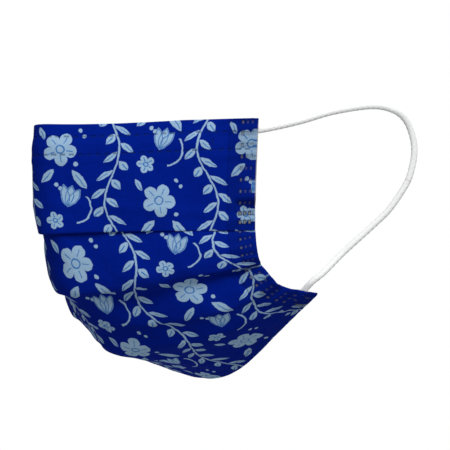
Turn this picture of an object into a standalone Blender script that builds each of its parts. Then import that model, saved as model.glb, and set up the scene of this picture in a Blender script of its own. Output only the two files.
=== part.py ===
"""A pleated surgical face mask, in the shape it has when worn.

The frame is +Z up with the wearer facing -Y, and the origin is where the top edge sits on the
bridge of the nose. The cloth is described by rows that run from one side edge over the middle to the
other: each is an arc over the middle and a nearly straight flank, and the rows follow each other from
the top edge down to the hem under the chin.
"""

import math
from collections import namedtuple

import bpy
from mathutils import Vector

MM = 0.001

# The worn size of the body, as the outer face of the cloth has it.
SPREAD = 66 * MM  # half the distance between the two lower corners
DEPTH = 92 * MM  # from the bridge of the nose back to the hem
DROP = 106.5 * MM  # from the top edge down to the hem

# The cloth and what is sewn or welded to it.
CLOTH = 1.0 * MM
CLEARANCE = 0.3 * MM
PLEAT_OVERLAP = 8 * MM
BAND_WIDTH = 11 * MM
BAND_RETURN = 8 * MM
WIRE_LENGTH = 134 * MM
WIRE_WIDTH = 4.0 * MM
WIRE_THICKNESS = 0.8 * MM
WIRE_BELOW_EDGE = 8.4 * MM
CASING_EASE = 2.5 * MM
CORD_DIAMETER = 2.2 * MM

LAYER_STEP = CLOTH + CLEARANCE
STACK = CLOTH + LAYER_STEP
PLEAT_STEP = 2 * LAYER_STEP
CASING_STEP = WIRE_THICKNESS + CLEARANCE

# Columns in each half of a row, closer together over the middle.
COLUMNS = 18
COLUMN_CROWDING = 1.35

Row = namedtuple("Row", "centre_y centre_z side_x side_y side_z ridge bow power lift wave crisp")

# centre and side: where the row crosses the middle and the side edge, as shares of DEPTH, DROP and
# SPREAD. ridge: the radius over the middle, as a share of SPREAD. bow: how far the flank stands out,
# as a share of SPREAD. power: how late the row climbs to its side. lift and wave: how far the flank
# rises between them in one swell, and how far it dips and then rises, as shares of DROP. crisp: a fold,
# not a smooth row.
SHAPE = {
    "top_edge": Row(0.000, 0.000, 0.955, 0.661, 0.024, 0.120, 0.000, 1.5, 0.000, 0.009, False),
    "nose": Row(-0.011, -0.123, 0.946, 0.659, -0.114, 0.135, 0.023, 1.5, 0.000, 0.006, False),
    "cheek": Row(0.005, -0.258, 0.932, 0.660, -0.255, 0.150, 0.030, 1.5, 0.004, 0.002, False),
    "lip_1": Row(0.029, -0.408, 0.924, 0.662, -0.394, 0.165, 0.023, 1.5, 0.009, 0.000, True),
    "middle_upper": Row(0.078, -0.501, 0.918, 0.673, -0.447, 0.180, 0.030, 1.5, 0.000, 0.000, False),
    "middle_lower": Row(0.099, -0.582, 0.921, 0.683, -0.492, 0.195, 0.045, 1.5, 0.000, 0.000, False),
    "lip_2": Row(0.150, -0.625, 0.932, 0.688, -0.515, 0.205, 0.035, 1.4, 0.000, 0.000, True),
    "valley_2": Row(0.222, -0.661, 0.912, 0.705, -0.526, 0.210, 0.020, 1.4, 0.000, 0.000, True),
    "lower": Row(0.272, -0.713, 0.947, 0.720, -0.552, 0.225, 0.030, 2.0, 0.000, 0.000, False),
    "lip_3": Row(0.325, -0.759, 0.972, 0.773, -0.600, 0.240, 0.030, 3.0, 0.000, 0.000, True),
    "valley_3": Row(0.362, -0.786, 0.965, 0.804, -0.611, 0.255, 0.025, 3.0, 0.000, 0.000, True),
    "chin": Row(0.405, -0.822, 0.985, 0.850, -0.621, 0.270, 0.035, 2.5, 0.000, 0.000, False),
    "chin_bend": Row(0.460, -0.868, 0.994, 0.900, -0.626, 0.270, 0.040, 2.2, 0.000, 0.000, False),
    "under_chin": Row(0.655, -0.912, 1.000, 0.948, -0.631, 0.300, 0.030, 2.0, 0.004, 0.004, False),
    "hem": Row(1.000, -0.996, 1.000, 1.002, -0.637, 0.300, 0.000, 1.7, 0.008, 0.016, False),
}

# The route of an ear loop on the +X side, from the upper weld round to the lower one, in mm.
LOOP_ROUTE = (
    (53.2, 57.9, -2.8),
    (57.9, 62.7, -2.6),
    (63.4, 69.4, -0.6),
    (69.8, 76.9, 2.0),
    (76.6, 88.0, 5.8),
    (83.4, 103.3, 8.4),
    (87.4, 112.4, 7.0),
    (89.4, 118.1, 3.0),
    (90.6, 121.1, -3.9),
    (90.9, 121.7, -11.1),
    (89.8, 120.1, -19.9),
    (87.8, 118.0, -25.7),
    (83.4, 113.4, -33.9),
    (78.8, 108.1, -40.4),
    (72.0, 98.0, -51.0),
    (66.6, 91.0, -59.2),
    (62.7, 88.2, -62.9),
    (58.8, 87.2, -66.4),
    (55.4, 86.8, -69.3),
)
LOOP_POINT_SPACING = 2.5 * CORD_DIAMETER
# How far the loop on the -X side hangs below the mirrored route at its middle.
FAR_LOOP_SAG = 12 * MM

PRINTED = ((0.010, 0.030, 0.250), 0.85)
WHITE_CLOTH = ((0.80, 0.82, 0.84), 0.9)
ELASTIC = ((0.75, 0.77, 0.80), 0.75)
WIRE_COAT = ((0.70, 0.72, 0.74), 0.45)


def sized(row):
    """The row in metres, moved back so that the origin is on the lining and not on the outer face."""
    return row._replace(
        centre_y=row.centre_y * DEPTH - STACK,
        centre_z=row.centre_z * DROP,
        side_x=row.side_x * SPREAD,
        side_y=row.side_y * DEPTH - STACK,
        side_z=row.side_z * DROP,
        ridge=row.ridge * SPREAD,
        bow=row.bow * SPREAD,
        lift=row.lift * DROP,
        wave=row.wave * DROP,
    )


ROWS = [sized(row) for row in SHAPE.values()]
INDEX = {name: index for index, name in enumerate(SHAPE)}


def flank(row):
    """(angle, length) of the straight flank: the tangent from the side edge to the arc over the middle."""
    across = row.side_x
    back = row.side_y - row.centre_y - row.ridge
    reach = math.hypot(across, back)
    angle = math.atan2(back, across) + math.asin(row.ridge / reach)
    return max(angle, 0.0), math.sqrt(reach**2 - row.ridge**2)


def half_length(row):
    angle, length = flank(row)
    return row.ridge * angle + length


def place(row, s):
    """The point at s along a row: 0 is the middle, 1 and -1 are the side edges."""
    angle, length = flank(row)
    along = abs(s) * half_length(row)
    turned = min(along / row.ridge, angle)
    straight = along - row.ridge * turned
    stand = row.bow * math.sin(math.pi * straight / length) ** 2
    x = row.ridge * math.sin(turned) + straight * math.cos(angle) + stand * math.sin(angle)
    y = row.ridge * (1 - math.cos(turned)) + straight * math.sin(angle) - stand * math.cos(angle)
    swell = row.lift * math.sin(math.pi * abs(s)) - row.wave * math.sin(2 * math.pi * abs(s))
    z = row.centre_z + (row.side_z - row.centre_z) * abs(s) ** row.power + swell
    return Vector((math.copysign(x, s), row.centre_y + y, z))


def row_at(position):
    """The row between two rows of the table, eased through their neighbours but not across a fold."""
    index = min(int(position), len(ROWS) - 2)
    t = position - index
    here, there = ROWS[index], ROWS[index + 1]
    before = here if here.crisp or index == 0 else ROWS[index - 1]
    after = there if there.crisp or index + 2 == len(ROWS) else ROWS[index + 2]
    eased = [
        b + 0.5 * t * ((c - a) + t * ((2 * a - 5 * b + 4 * c - d) + t * (3 * (b - c) + d - a)))
        for a, b, c, d in zip(before[:-1], here[:-1], there[:-1], after[:-1])
    ]
    return Row(*eased, False)


def inset(row, depth, height=0.0):
    """The same row moved straight in by depth and up by height, as cloth that lies behind it."""
    angle = flank(row)[0]
    return row._replace(
        centre_y=row.centre_y + depth,
        centre_z=row.centre_z + height,
        side_x=row.side_x - depth * math.sin(angle),
        side_y=row.side_y + depth * math.cos(angle),
        side_z=row.side_z + height,
        ridge=row.ridge - depth,
    )


def inward(rows, index, s):
    """The direction square to the cloth, towards the face."""
    across = place(rows[index], s + 0.01) - place(rows[index], s - 0.01)
    above, below = rows[max(index - 1, 0)], rows[min(index + 1, len(rows) - 1)]
    return across.cross(place(below, s) - place(above, s)).normalized()


def position_below_edge(distance):
    """The row number in the top panel at this distance below the top edge."""
    return distance / (ROWS[0].centre_z - ROWS[1].centre_z)


def position_above_lip(distance):
    """The row number in the top panel at this distance above the first fold."""
    lip = INDEX["lip_1"]
    return lip - distance / (ROWS[lip - 1].centre_z - ROWS[lip].centre_z)


def panel_rows(first, last, steps=2):
    """The rows from one fold to another, with steps - 1 more between each two of the table."""
    start, end = INDEX[first], INDEX[last]
    count = (end - start) * steps
    return [row_at(start + i / steps) for i in range(count + 1)]


LIP = ROWS[INDEX["lip_1"]]
UNDER_LIP = inset(LIP, PLEAT_STEP, -CLEARANCE)
POCKET_TOP = row_at(position_above_lip(PLEAT_OVERLAP))

# The cloth below the first fold: one run of rows from behind the lip to the hem.
LOWER_ROWS = (
    [UNDER_LIP, row_at(INDEX["middle_upper"]), row_at(INDEX["middle_upper"] + 0.5)]
    + panel_rows("middle_lower", "lip_2")
    + panel_rows("valley_2", "lip_3")
    + panel_rows("valley_3", "hem")
)


def columns():
    """The places along a row, from the -X side edge to the +X one."""
    half = [(i / COLUMNS) ** COLUMN_CROWDING for i in range(1, COLUMNS + 1)]
    return [-s for s in reversed(half)] + [0.0] + half


def drawn(row):
    return [place(row, s) for s in columns()]


def square_offset(rows, index, depth):
    """The points of a row, moved in by depth square to the cloth."""
    return [place(rows[index], s) + depth * inward(rows, index, s) for s in columns()]


def material(name, look):
    colour, roughness = look
    made = bpy.data.materials.new(name)
    made.use_nodes = True
    shader = made.node_tree.nodes["Principled BSDF"]
    shader.inputs["Base Color"].default_value = (*colour, 1.0)
    shader.inputs["Roughness"].default_value = roughness
    return made


def wall(name, stations, look):
    """A closed sheet through stations, each a pair of lists of points: one face and the other."""
    width = len(stations[0][0])
    points = [point for outer, inner in stations for point in outer + inner]
    last = 2 * width * (len(stations) - 1)
    faces = []
    for start in range(0, last, 2 * width):
        below = start + 2 * width
        for i in range(width - 1):
            faces.append((start + i, below + i, below + i + 1, start + i + 1))
            back = width + i
            faces.append((start + back + 1, below + back + 1, below + back, start + back))
        faces.append((start + width, below + width, below, start))
        right = width - 1
        faces.append(
            (start + right, below + right, below + width + right, start + width + right)
        )
    for i in range(width - 1):
        faces.append((i, i + 1, width + i + 1, width + i))
        faces.append((last + width + i, last + width + i + 1, last + i + 1, last + i))
    mesh = bpy.data.meshes.new(name)
    mesh.from_pydata(points, [], faces)
    mesh.materials.append(look)
    mesh.shade_smooth()
    mesh.set_sharp_from_angle(angle=math.radians(40))
    made = bpy.data.objects.new(name, mesh)
    bpy.context.scene.collection.objects.link(made)
    return made


def outer_layer():
    """The printed cloth: the top panel, the pleat folded up behind its lip, and the rest down to the hem."""
    top = [row_at(i / 2) for i in range(2 * (INDEX["lip_1"] - 1) + 1)] + [POCKET_TOP]
    stations = [(drawn(row), drawn(inset(row, CLOTH))) for row in top]
    back = CLOTH + LAYER_STEP
    stations += [
        (drawn(LIP), drawn(inset(LIP, CLOTH, CLOTH))),
        (drawn(inset(LIP, back)), drawn(inset(LIP, LAYER_STEP, CLOTH))),
        (drawn(inset(POCKET_TOP, back)), drawn(inset(POCKET_TOP, LAYER_STEP, CLOTH))),
        (drawn(inset(POCKET_TOP, PLEAT_STEP)), drawn(inset(POCKET_TOP, PLEAT_STEP + CLOTH, CLOTH))),
    ]
    for index in range(len(LOWER_ROWS)):
        stations.append((drawn(LOWER_ROWS[index]), square_offset(LOWER_ROWS, index, CLOTH)))
    return wall("outer_layer", stations, material("printed_cloth", PRINTED))


def lining_above_pleat():
    """(row, depth) of the lining's outer face behind the top panel: out of the wire's way, then of the pleat's."""
    half = WIRE_WIDTH / 2 + CLEARANCE
    casing = (
        (WIRE_BELOW_EDGE - half - CASING_EASE, LAYER_STEP),
        (WIRE_BELOW_EDGE - half, LAYER_STEP + CASING_STEP),
        (WIRE_BELOW_EDGE + half, LAYER_STEP + CASING_STEP),
        (WIRE_BELOW_EDGE + half + CASING_EASE, LAYER_STEP),
    )
    found = [(ROWS[0], LAYER_STEP)]
    found += [(row_at(position_below_edge(below)), depth) for below, depth in casing]
    found += [(row_at(INDEX["cheek"] - 0.5), LAYER_STEP)]
    behind = PLEAT_STEP + LAYER_STEP
    ramp = ((4 * CLOTH + CLEARANCE, LAYER_STEP), (CLOTH + 2 * CLEARANCE, behind), (0.0, behind))
    for above, depth in ramp:
        found.append((row_at(position_above_lip(PLEAT_OVERLAP + above)), depth))
    return found


def inner_layer():
    """The white lining, which passes behind the first pleat and follows the rest of the cloth."""
    stations = []
    for row, depth in lining_above_pleat():
        stations.append((drawn(inset(row, depth)), drawn(inset(row, depth + CLOTH))))
    for index in range(len(LOWER_ROWS)):
        outer = square_offset(LOWER_ROWS, index, LAYER_STEP)
        stations.append((outer, square_offset(LOWER_ROWS, index, LAYER_STEP + CLOTH)))
    return wall("inner_layer", stations, material("lining_cloth", WHITE_CLOTH))


def band_station(point_at, row, side, near, far, near_fall=0.0):
    """One section of a side band: a U round the side edge, from near over the front to far behind.

    point_at(s, depth) gives the points. near and far are the depths of the faces that the band wraps,
    and near_fall is how far the front leg sinks below its row, to pass under a lip."""
    length = half_length(row)
    front, back = 1 - BAND_WIDTH / length, 1 - BAND_RETURN / length
    inside, outside = 1 + CLEARANCE / length, 1 + LAYER_STEP / length
    sunk, sunk_outside = Vector((0, 0, -near_fall * CLEARANCE)), Vector((0, 0, -near_fall * LAYER_STEP))
    outer = [
        point_at(side * front, near - LAYER_STEP) + sunk_outside,
        point_at(side * outside, near - LAYER_STEP) + sunk_outside,
        point_at(side * outside, far + CLEARANCE + LAYER_STEP),
        point_at(side * back, far + CLEARANCE + LAYER_STEP),
    ]
    inner = [
        point_at(side * front, near - CLEARANCE) + sunk,
        point_at(side * inside, near - CLEARANCE) + sunk,
        point_at(side * inside, far + 2 * CLEARANCE),
        point_at(side * back, far + 2 * CLEARANCE),
    ]
    return (outer, inner) if side > 0 else (outer[::-1], inner[::-1])


def side_band(name, side):
    """The strip folded round one side edge, from the top edge to the lower corner."""
    stations = []

    def add_flat(row, far, near=0.0, fall=0.0):
        stations.append(
            band_station(lambda s, depth: place(inset(row, depth), s), row, side, near, far, fall)
        )

    for row, depth in lining_above_pleat():
        add_flat(row, depth + CLOTH)
    pocket_back = PLEAT_STEP + STACK
    add_flat(LIP, pocket_back, fall=1.0)
    add_flat(LIP, pocket_back, near=PLEAT_STEP, fall=1.0)
    for index in range(1, len(LOWER_ROWS)):
        row = LOWER_ROWS[index]

        def square(s, depth, index=index, row=row):
            return place(row, s) + depth * inward(LOWER_ROWS, index, s)

        stations.append(band_station(square, row, side, 0.0, STACK))
    return wall(name, stations, material(name + "_cloth", PRINTED))


def nose_wire():
    """The flat wire between the two layers, below the top edge."""
    stations = []
    for below in (WIRE_BELOW_EDGE - WIRE_WIDTH / 2, WIRE_BELOW_EDGE + WIRE_WIDTH / 2):
        row = row_at(position_below_edge(below))
        reach = WIRE_LENGTH / 2 / half_length(row)
        places = [reach * s for s in columns()]
        front, back = inset(row, LAYER_STEP), inset(row, LAYER_STEP + WIRE_THICKNESS)
        stations.append(([place(front, s) for s in places], [place(back, s) for s in places]))
    return wall("nose_wire", stations, material("wire_coat", WIRE_COAT))


def smooth_path(route, spacing):
    """Points about this far apart on a smooth curve through the route."""
    fine = []
    padded = [2 * route[0] - route[1], *route, 2 * route[-1] - route[-2]]
    for a, b, c, d in zip(padded, padded[1:], padded[2:], padded[3:]):
        for i in range(40):
            t = i / 40
            bend = 2 * a - 5 * b + 4 * c - d
            fine.append(b + 0.5 * t * ((c - a) + t * (bend + t * (3 * (b - c) + d - a))))
    fine.append(route[-1])
    lengths = [0.0]
    for a, b in zip(fine, fine[1:]):
        lengths.append(lengths[-1] + (b - a).length)
    count = round(lengths[-1] / spacing)
    path = []
    index = 0
    for i in range(count + 1):
        wanted = lengths[-1] * i / count
        while index < len(fine) - 2 and lengths[index + 1] < wanted:
            index += 1
        share = (wanted - lengths[index]) / (lengths[index + 1] - lengths[index])
        path.append(fine[index].lerp(fine[index + 1], min(share, 1.0)))
    return path


def ear_loop(name, side):
    """The round elastic from the upper corner to the lower one."""
    sag = FAR_LOOP_SAG if side < 0 else 0.0
    route = []
    for index, (x, y, z) in enumerate(LOOP_ROUTE):
        drop = sag * math.sin(math.pi * index / (len(LOOP_ROUTE) - 1)) ** 4
        route.append(Vector((side * x * MM, y * MM, z * MM - drop)))
    path = smooth_path(route, LOOP_POINT_SPACING)
    curve = bpy.data.curves.new(name, "CURVE")
    curve.dimensions = "3D"
    curve.bevel_depth = CORD_DIAMETER / 2
    curve.bevel_resolution = 2
    curve.use_fill_caps = True
    spline = curve.splines.new("POLY")
    spline.points.add(len(path) - 1)
    for point, co in zip(spline.points, path):
        point.co = (*co, 1.0)
    curve.materials.append(material(name + "_elastic", ELASTIC))
    made = bpy.data.objects.new(name, curve)
    bpy.context.scene.collection.objects.link(made)
    return made


def main():
    for old in list(bpy.data.objects):
        bpy.data.objects.remove(old)
    outer_layer()
    inner_layer()
    nose_wire()
    side_band("side_band_left", 1)
    side_band("side_band_right", -1)
    ear_loop("ear_loop_left", 1)
    ear_loop("ear_loop_right", -1)


main()
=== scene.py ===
"""The looks of a pleated surgical face mask in its worn shape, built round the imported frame.

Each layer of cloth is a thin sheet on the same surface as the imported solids: rows run from one side
edge over the middle to the other, and follow each other from the top edge down to the hem. A sheet's
path goes down the rows, round each fold and on, and the print is drawn in millimetres of cloth.
"""

import math
from collections import namedtuple

import bpy
import numpy as np
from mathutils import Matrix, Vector
from mathutils.bvhtree import BVHTree


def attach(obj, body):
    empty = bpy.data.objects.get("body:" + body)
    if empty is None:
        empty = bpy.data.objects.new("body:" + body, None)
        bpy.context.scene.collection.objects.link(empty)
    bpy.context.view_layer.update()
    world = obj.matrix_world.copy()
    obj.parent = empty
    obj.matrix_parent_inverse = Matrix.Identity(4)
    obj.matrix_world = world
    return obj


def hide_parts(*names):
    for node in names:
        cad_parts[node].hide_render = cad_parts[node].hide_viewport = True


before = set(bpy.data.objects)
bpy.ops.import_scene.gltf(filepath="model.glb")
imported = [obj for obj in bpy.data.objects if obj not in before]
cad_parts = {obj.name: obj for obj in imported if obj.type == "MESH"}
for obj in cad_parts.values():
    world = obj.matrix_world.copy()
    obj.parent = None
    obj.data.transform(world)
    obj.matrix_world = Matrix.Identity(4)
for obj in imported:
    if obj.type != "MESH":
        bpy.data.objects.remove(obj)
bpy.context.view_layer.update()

MM = 0.001

# The worn size of the body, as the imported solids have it.
SPREAD = 66 * MM
DEPTH = 92 * MM
DROP = 106.5 * MM
STACK = 2.3 * MM
PLEAT_STEP = 2.6 * MM
PLEAT_OVERLAP = 8 * MM
BAND_WIDTH = 11 * MM
BAND_RETURN = 8 * MM

# The real cloth is thinner than the solid walls: four layers fit in the step of the first pleat.
CLOTH = 0.15 * MM
LAYER = PLEAT_STEP / 4
TOP_HEM = 15.5 * MM
BOTTOM_HEM = 10 * MM

# The share of that room which the pressed layers keep over the nose, and near the side bands, and where
# along a row the one fades into the other.
MIDDLE_PINCH = 0.72
SIDE_PINCH = 0.3
PINCH_FADE = (12 * MM, 60 * MM)

# The cloth ends this far inside the side edge, where the band turns round it.
BAND_TUCK = 1.5 * MM

# The nose wire's casing, measured down from the top edge.
WIRE_LENGTH = 134 * MM
WIRE_WIDTH = 4.0 * MM
WIRE_THICKNESS = 0.6 * MM
WIRE_BELOW_EDGE = 8.4 * MM

HALF_COLUMNS = 96
COLUMN_CROWDING = 1.15
ROW_SPACING = 0.92 * MM

Row = namedtuple("Row", "centre_y centre_z side_x side_y side_z ridge bow power lift wave crisp")

# The rows of the cloth, within 3 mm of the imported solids' rows: lengths as shares of DEPTH, DROP and SPREAD.
SHAPE = {
    "top_edge": Row(0.000, 0.000, 0.955, 0.661, 0.024, 0.120, 0.000, 1.5, 0.000, 0.002, False),
    "nose": Row(-0.011, -0.123, 0.946, 0.659, -0.114, 0.135, 0.023, 1.5, 0.000, 0.006, False),
    "cheek": Row(0.005, -0.258, 0.932, 0.660, -0.255, 0.150, 0.030, 1.5, 0.004, 0.002, False),
    "lip_1": Row(0.029, -0.408, 0.924, 0.662, -0.394, 0.165, 0.023, 1.5, 0.009, 0.000, True),
    "middle_upper": Row(0.084, -0.501, 0.918, 0.673, -0.447, 0.180, 0.030, 1.5, 0.000, 0.000, False),
    "middle_lower": Row(0.111, -0.582, 0.921, 0.683, -0.492, 0.195, 0.045, 1.5, 0.000, 0.000, False),
    "lip_2": Row(0.146, -0.638, 0.932, 0.688, -0.515, 0.205, 0.035, 1.4, 0.000, 0.000, True),
    "valley_2": Row(0.234, -0.684, 0.912, 0.705, -0.526, 0.210, 0.020, 1.4, 0.000, 0.000, True),
    "lower": Row(0.285, -0.722, 0.947, 0.720, -0.552, 0.225, 0.030, 2.0, 0.000, 0.000, False),
    "lip_3": Row(0.325, -0.759, 0.972, 0.773, -0.600, 0.240, 0.030, 3.0, 0.000, 0.000, True),
    "valley_3": Row(0.362, -0.786, 0.965, 0.804, -0.611, 0.255, 0.025, 3.0, 0.000, 0.000, True),
    "chin": Row(0.405, -0.822, 0.985, 0.850, -0.621, 0.270, 0.035, 2.5, 0.000, 0.000, False),
    "chin_bend": Row(0.460, -0.871, 0.994, 0.900, -0.626, 0.270, 0.040, 2.2, 0.000, 0.000, False),
    "under_chin": Row(0.655, -0.914, 1.000, 0.948, -0.631, 0.300, 0.030, 2.0, 0.004, 0.004, False),
    "hem": Row(1.000, -0.993, 1.000, 1.002, -0.637, 0.300, 0.000, 1.7, 0.008, 0.016, False),
}

# The route of the near ear loop, from the upper weld round to the lower one, in mm. It leaves the packed
# tube's route by up to 0.5 mm in its first three points and by up to 1.6 mm in its last seven.
LOOP_ROUTE = (
    (53.2, 57.9, -2.3),
    (57.9, 62.7, -2.2),
    (63.4, 69.4, -0.5),
    (69.8, 76.9, 2.0),
    (76.6, 88.0, 5.8),
    (83.4, 103.3, 8.4),
    (87.4, 112.4, 7.0),
    (89.4, 118.1, 3.0),
    (90.6, 121.1, -3.9),
    (90.9, 121.7, -11.1),
    (89.8, 120.1, -19.9),
    (87.8, 118.0, -25.7),
    (83.8, 113.8, -33.9),
    (79.4, 108.7, -40.4),
    (72.7, 98.7, -51.0),
    (67.5, 91.9, -59.2),
    (63.6, 89.2, -62.9),
    (60.0, 88.2, -66.5),
    (56.2, 87.2, -69.4),
)
FAR_LOOP_SAG = 12 * MM

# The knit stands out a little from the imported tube.
KNIT_DIAMETER = 2.6 * MM

# The photograph's view: square to the near flank, level with the middle of the mask.
VIEW_AZIMUTH = 45
VIEW_DISTANCE = 0.8
VIEW_ACROSS = 72.6 * MM
VIEW_HEIGHT = -40 * MM
VIEW_WIDTH = 180 * MM
SENSOR = 36.0

BLUE = (0.0, 0.009, 0.184)
PALE = (0.242, 0.371, 0.52)
MID_BLUE = (0.026, 0.125, 0.35)
# The deep blue of the painted shade on the side bands.
PAINTED_SHADE_BLUE = (0.001, 0.005, 0.04)


def linked(name, data):
    """A new object of the scene."""
    made = bpy.data.objects.new(name, data)
    bpy.context.scene.collection.objects.link(made)
    return made


def direction(azimuth, elevation):
    """The unit vector from the mask to a camera or lamp that stands there, in degrees."""
    azimuth, elevation = math.radians(azimuth), math.radians(elevation)
    level = math.cos(elevation)
    return Vector((math.sin(azimuth) * level, -math.cos(azimuth) * level, math.sin(elevation)))


def camera():
    """The camera of the photograph's view."""
    data = bpy.data.cameras.new("view")
    data.sensor_width = SENSOR
    data.lens = SENSOR * VIEW_DISTANCE / VIEW_WIDTH
    data.clip_end = 20
    back = direction(VIEW_AZIMUTH, 0)
    right = Vector((-back.y, back.x, 0))
    made = linked("view", data)
    made.location = right * VIEW_ACROSS + Vector((0, 0, VIEW_HEIGHT)) + back * VIEW_DISTANCE
    made.rotation_euler = back.to_track_quat("Z", "Y").to_euler()
    bpy.context.scene.camera = made


# Rows and surfaces


def sized(row):
    """The row in metres, moved back so that the origin is on the lining and not on the outer face."""
    return row._replace(
        centre_y=row.centre_y * DEPTH - STACK,
        centre_z=row.centre_z * DROP,
        side_x=row.side_x * SPREAD,
        side_y=row.side_y * DEPTH - STACK,
        side_z=row.side_z * DROP,
        ridge=row.ridge * SPREAD,
        bow=row.bow * SPREAD,
        lift=row.lift * DROP,
        wave=row.wave * DROP,
    )


def flank(row):
    """(angle, length) of the straight flank: the tangent from the side edge to the arc over the middle."""
    back = row.side_y - row.centre_y - row.ridge
    reach = math.hypot(row.side_x, back)
    angle = math.atan2(back, row.side_x) + math.asin(row.ridge / reach)
    return max(angle, 0.0), math.sqrt(reach**2 - row.ridge**2)


def half_length(row):
    angle, length = flank(row)
    return row.ridge * angle + length


def place(row, s):
    """The points at the places s along a row: 0 is the middle, 1 and -1 are the side edges."""
    angle, length = flank(row)
    size = np.abs(s)
    along = size * half_length(row)
    turned = np.minimum(along / row.ridge, angle)
    straight = along - row.ridge * turned
    stand = row.bow * np.sin(np.pi * straight / length) ** 2
    x = row.ridge * np.sin(turned) + straight * math.cos(angle) + stand * math.sin(angle)
    y = row.ridge * (1 - np.cos(turned)) + straight * math.sin(angle) - stand * math.cos(angle)
    swell = row.lift * np.sin(np.pi * size) - row.wave * np.sin(2 * np.pi * size)
    z = row.centre_z + (row.side_z - row.centre_z) * size**row.power + swell
    return np.stack([np.copysign(x, s), row.centre_y + y, z], axis=-1)


def eased(before, here, there, after, t):
    """The place t of the way from here to there, on a smooth curve through all four."""
    bend = 2 * before - 5 * here + 4 * there - after
    return here + 0.5 * t * ((there - before) + t * (bend + t * (3 * (here - there) + after - before)))


def row_at(rows, position):
    """The row between two of these rows, eased through their neighbours but not across a fold."""
    index = min(int(position), len(rows) - 2)
    here, there = rows[index], rows[index + 1]
    before = here if here.crisp or index == 0 else rows[index - 1]
    after = there if there.crisp or index + 2 == len(rows) else rows[index + 2]
    four = zip(before[:-1], here[:-1], there[:-1], after[:-1])
    return Row(*[eased(*values, position - index) for values in four], False)


def inset(row, depth):
    """The same row moved straight in by depth, as cloth that lies behind it."""
    angle = flank(row)[0]
    return row._replace(
        centre_y=row.centre_y + depth,
        side_x=row.side_x - depth * math.sin(angle),
        side_y=row.side_y + depth * math.cos(angle),
        ridge=row.ridge - depth,
    )


ROWS = {name: sized(row) for name, row in SHAPE.items()}
TOP_ROWS = [ROWS[name] for name in ("top_edge", "nose", "cheek", "lip_1")]
POCKET_TOP = row_at(TOP_ROWS, 3 - PLEAT_OVERLAP / (TOP_ROWS[2].centre_z - TOP_ROWS[3].centre_z))
LOWER_ROWS = [inset(POCKET_TOP, PLEAT_STEP), inset(ROWS["lip_1"], PLEAT_STEP)]
LOWER_ROWS += list(ROWS.values())[4:]

Surface = namedtuple("Surface", "points inward down across below flat to_hem to_side pinch levels")


def sampled(rows, spacing):
    """The positions along the rows, about this far apart in the middle or at the side."""
    found = [0.0]
    for index, (above, below) in enumerate(zip(rows, rows[1:])):
        middle = math.hypot(below.centre_y - above.centre_y, below.centre_z - above.centre_z)
        count = max(2, round(middle / spacing))
        found += [index + (i + 1) / count for i in range(count)]
    return np.array(found)


def rise(value, start, end):
    """A smooth step from 0 at start to 1 at end."""
    t = np.clip((value - start) / (end - start), 0.0, 1.0)
    return t * t * (3 - 2 * t)


def hump(value, middle, half_width):
    """A smooth bump of height 1."""
    t = np.clip(np.abs(value - middle) / half_width, 0.0, 1.0)
    return (1 - t * t) ** 2


def nearest(values, wanted):
    return int(np.argmin(np.abs(values - wanted)))


def unit(vectors):
    return vectors / np.linalg.norm(vectors, axis=-1, keepdims=True)


def directions(points):
    """The unit vectors down and inward of a grid of points."""
    across = unit(np.gradient(points, axis=1))
    down = unit(np.gradient(points, axis=0))
    return down, unit(np.cross(across, down))


def surface(rows, s, above=None):
    """The cloth's outer face through the rows at the places s, plain and with no directions yet.

    A surface that continues the one above starts behind it, with its second row at that one's end."""
    levels = sampled(rows, ROW_SPACING)
    drawn = [row_at(rows, level) for level in levels]
    points = np.array([place(row, s) for row in drawn])
    lengths = np.array([half_length(row) for row in drawn])[:, None]
    across = s[None, :] * lengths
    steps = np.linalg.norm(np.diff(points, axis=0), axis=-1)
    below = np.concatenate([np.zeros((1, len(s))), np.cumsum(steps, axis=0)])
    if above is not None:
        below += above.below[-1] - below[nearest(levels, 1)]
    flat = np.stack([across, below], axis=-1)
    to_side = lengths - np.abs(across)
    pinch = MIDDLE_PINCH + (SIDE_PINCH - MIDDLE_PINCH) * rise(np.abs(across), *PINCH_FADE)
    return Surface(points, None, None, across, below, flat, below[-1] - below, to_side, pinch, levels)


NEIGHBOURS = ((1, 0), (0, 1), (1, 1), (1, -1))
COARSE_ROWS = 27
COARSE_COLUMNS = 43
RELAXING_ROUNDS = 1500
RELAXING_STEP = 0.24


def neighbour_pairs(points):
    """The slices of a grid's points and of their neighbours below and beside, with their distances."""
    pairs = []
    for down, right in NEIGHBOURS:
        last = len(points) - down
        first_columns = slice(0, -1) if right > 0 else slice(1, None) if right < 0 else slice(None)
        next_columns = slice(1, None) if right > 0 else slice(0, -1) if right < 0 else slice(None)
        here, there = (slice(0, last), first_columns), (slice(down, None), next_columns)
        pairs.append((here, there, np.linalg.norm(points[there] - points[here], axis=-1)))
    return pairs


def filled_in(values, picks, count):
    """All the rows of a grid of which values has the picked ones, even between them."""
    columns_of = values.reshape(len(picks), -1).T
    rows = [np.interp(np.arange(count), picks, column) for column in columns_of]
    return np.array(rows).T.reshape(count, *values.shape[1:])


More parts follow.
